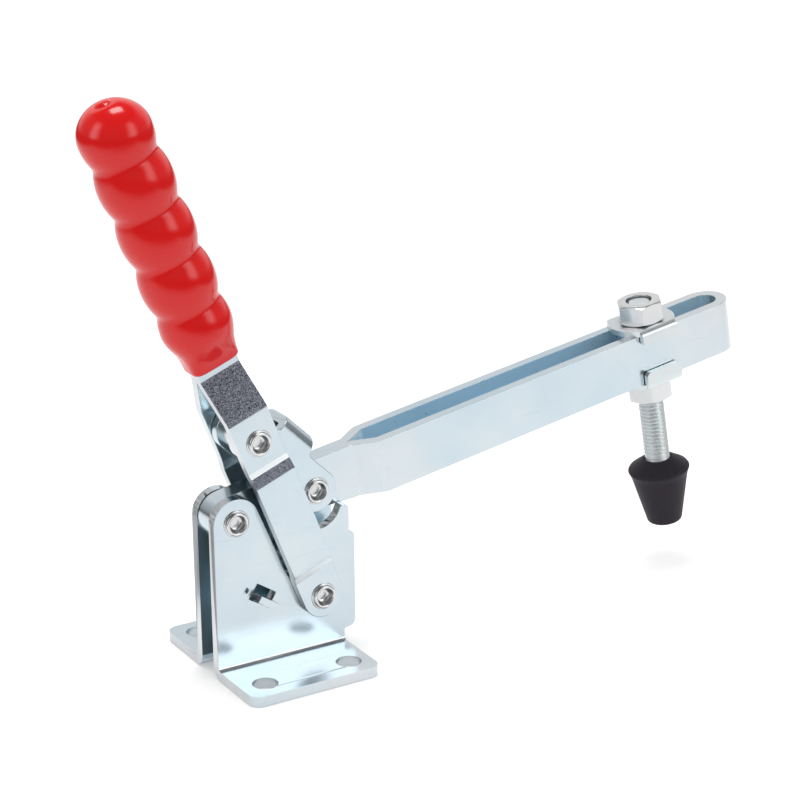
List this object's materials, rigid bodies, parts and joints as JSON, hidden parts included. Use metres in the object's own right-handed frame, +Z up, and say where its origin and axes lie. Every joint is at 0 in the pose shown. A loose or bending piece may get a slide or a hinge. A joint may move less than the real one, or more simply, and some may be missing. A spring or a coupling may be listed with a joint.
{
  "type": "toggle clamp",
  "caption": "Hold-down toggle clamp with a flanged base, slotted U-shaped bar, folded toggle link, ribbed upright handle and a height-adjustable rubber-tipped spindle.",
  "frame": {"origin": "centre of the rectangle of four mounting holes, on the underside of the base flanges", "axes": "+X along the base towards the far end of the bar, +Z up out of the bench, +Y completes a right-handed frame; the clamp is symmetric about the plane Y = 0"},
  "size_m": [0.2169, 0.056, 0.1692],
  "materials": {
    "zinc_sheet": "bright zinc plate, satin",
    "zinc_fastener": "zinc plate, satin",
    "grip_vinyl": "glossy dipped vinyl",
    "tip_rubber": "matt moulded rubber"
  },
  "bodies": {
    "base": {"base_plate_right": "zinc_sheet", "base_plate_left": "zinc_sheet", "bar_pivot_rivet": "zinc_fastener", "handle_pivot_spacer": "zinc_fastener"},
    "bar": {"bar": "zinc_sheet"},
    "link": {"link": "zinc_sheet", "link_bush": "zinc_fastener", "link_rivet_right": "zinc_fastener", "link_rivet_left": "zinc_fastener"},
    "handle": {"handle_plate_right": "zinc_sheet", "handle_plate_left": "zinc_sheet", "handle_pivot_rivet": "zinc_fastener", "toggle_rivet": "zinc_fastener", "grip": "grip_vinyl"},
    "spindle_clamp": {"top_washer": "zinc_fastener", "low_washer": "zinc_fastener", "top_nut": "zinc_fastener", "low_nut": "zinc_fastener"},
    "spindle": {"spindle_bolt": "zinc_fastener", "rubber_tip": "tip_rubber"}
  },
  "joints": [
    {"name": "arm_pivot", "type": "hinge", "parent": "base", "child": "bar", "pos_m": [-0.0138, 0, 0.04665], "axis": [0, -1, 0], "range_deg": [-9.75, 90]},
    {"name": "link_pivot", "type": "hinge", "parent": "handle", "child": "link", "pos_m": [-0.00757, 0, 0.07014], "axis": [0, -1, 0], "range_deg": [-8, 66.5]},
    {"name": "handle_pivot", "type": "hinge", "parent": "base", "child": "handle", "pos_m": [0.0118, 0, 0.01995], "axis": [0, -1, 0], "range_deg": [-4, 36]},
    {"name": "spindle_slide", "type": "slide", "parent": "bar", "child": "spindle_clamp", "axis": [0.9856, 0, 0.1693], "range_m": [-0.088, 0.0235]},
    {"name": "spindle_height", "type": "slide", "parent": "spindle_clamp", "child": "spindle", "axis": [-0.1693, 0, 0.9856], "range_m": [-0.004, 0.02]}
  ],
  "couplings": [
    {"joint": "handle_pivot", "follows": "arm_pivot", "ratio": 0.3946},
    {"joint": "link_pivot", "follows": "arm_pivot", "ratio": 0.7299}
  ]
}
